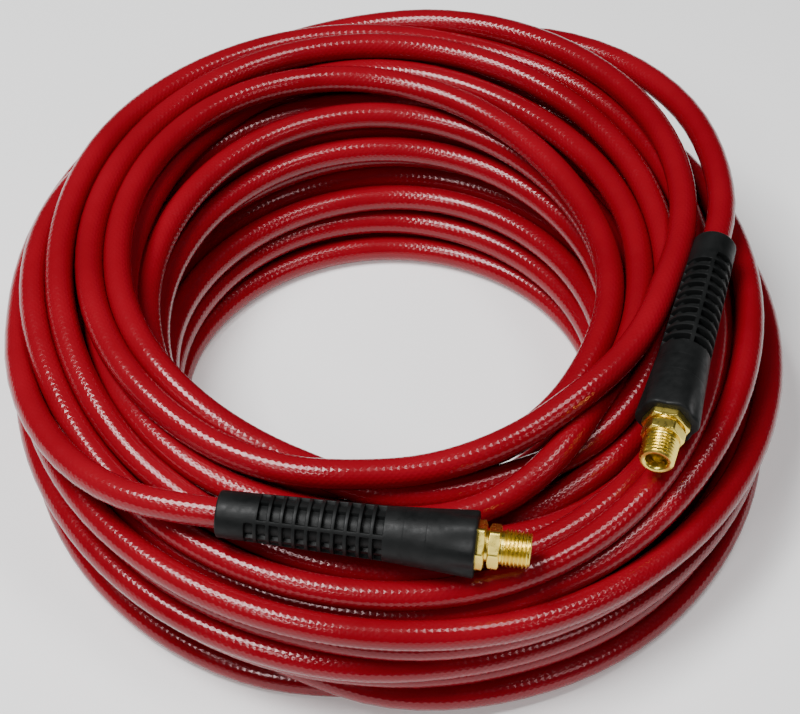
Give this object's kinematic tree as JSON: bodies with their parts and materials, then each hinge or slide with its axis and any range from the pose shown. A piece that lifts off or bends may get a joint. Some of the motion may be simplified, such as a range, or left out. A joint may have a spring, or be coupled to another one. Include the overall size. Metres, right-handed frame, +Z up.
{
  "type": "coiled air hose",
  "caption": "Flexible red air hose lying in a loose round coil, with a windowed rubber bend restrictor and a brass male taper-thread swivel fitting on each end",
  "frame": {"origin": "on the resting surface, under the middle of the coil's overall width and depth", "axes": "+Z up; -Y is the side of the coil that both fittings point towards; +X is to the right when seen from -Y"},
  "size_m": [0.314, 0.3096, 0.0987],
  "materials": {
    "hose_red": "glossy, fine diagonal pattern of the braid showing through",
    "liner_black": "smooth",
    "braid_yarn": "woven yarn",
    "boot_rubber": "satin moulded",
    "brass": "machined bright",
    "seal_rubber": "smooth",
    "spring_steel": "drawn wire"
  },
  "bodies": {
    "hose": {"bend_restrictor_a": "boot_rubber", "crimp_ferrule_a": "brass", "barbed_stem_a": "brass", "retaining_wire_a": "spring_steel", "hose_liner_a": "liner_black", "hose_braid_a": "braid_yarn", "hose_cover_a": "hose_red", "hose_tail_a": "hose_red", "bend_restrictor_b": "boot_rubber", "crimp_ferrule_b": "brass", "barbed_stem_b": "brass", "retaining_wire_b": "spring_steel", "hose_liner_b": "liner_black", "hose_braid_b": "braid_yarn", "hose_cover_b": "hose_red", "hose_tail_b": "hose_red", "hose_coil": "hose_red"},
    "swivel_a": {"swivel_fitting_a": "brass", "swivel_seal_a": "seal_rubber"},
    "swivel_b": {"swivel_fitting_b": "brass", "swivel_seal_b": "seal_rubber"}
  },
  "joints": [
    {"name": "swivel_a_turn", "type": "hinge", "parent": "hose", "child": "swivel_a", "pos_m": [0.02754, -0.12897, 0.07858], "axis": [0.9886, -0.1502, 0.0063], "continuous": true},
    {"name": "swivel_b_turn", "type": "hinge", "parent": "hose", "child": "swivel_b", "pos_m": [0.09703, -0.08083, 0.08676], "axis": [-0.2922, -0.9563, -0.0133], "continuous": true}
  ]
}
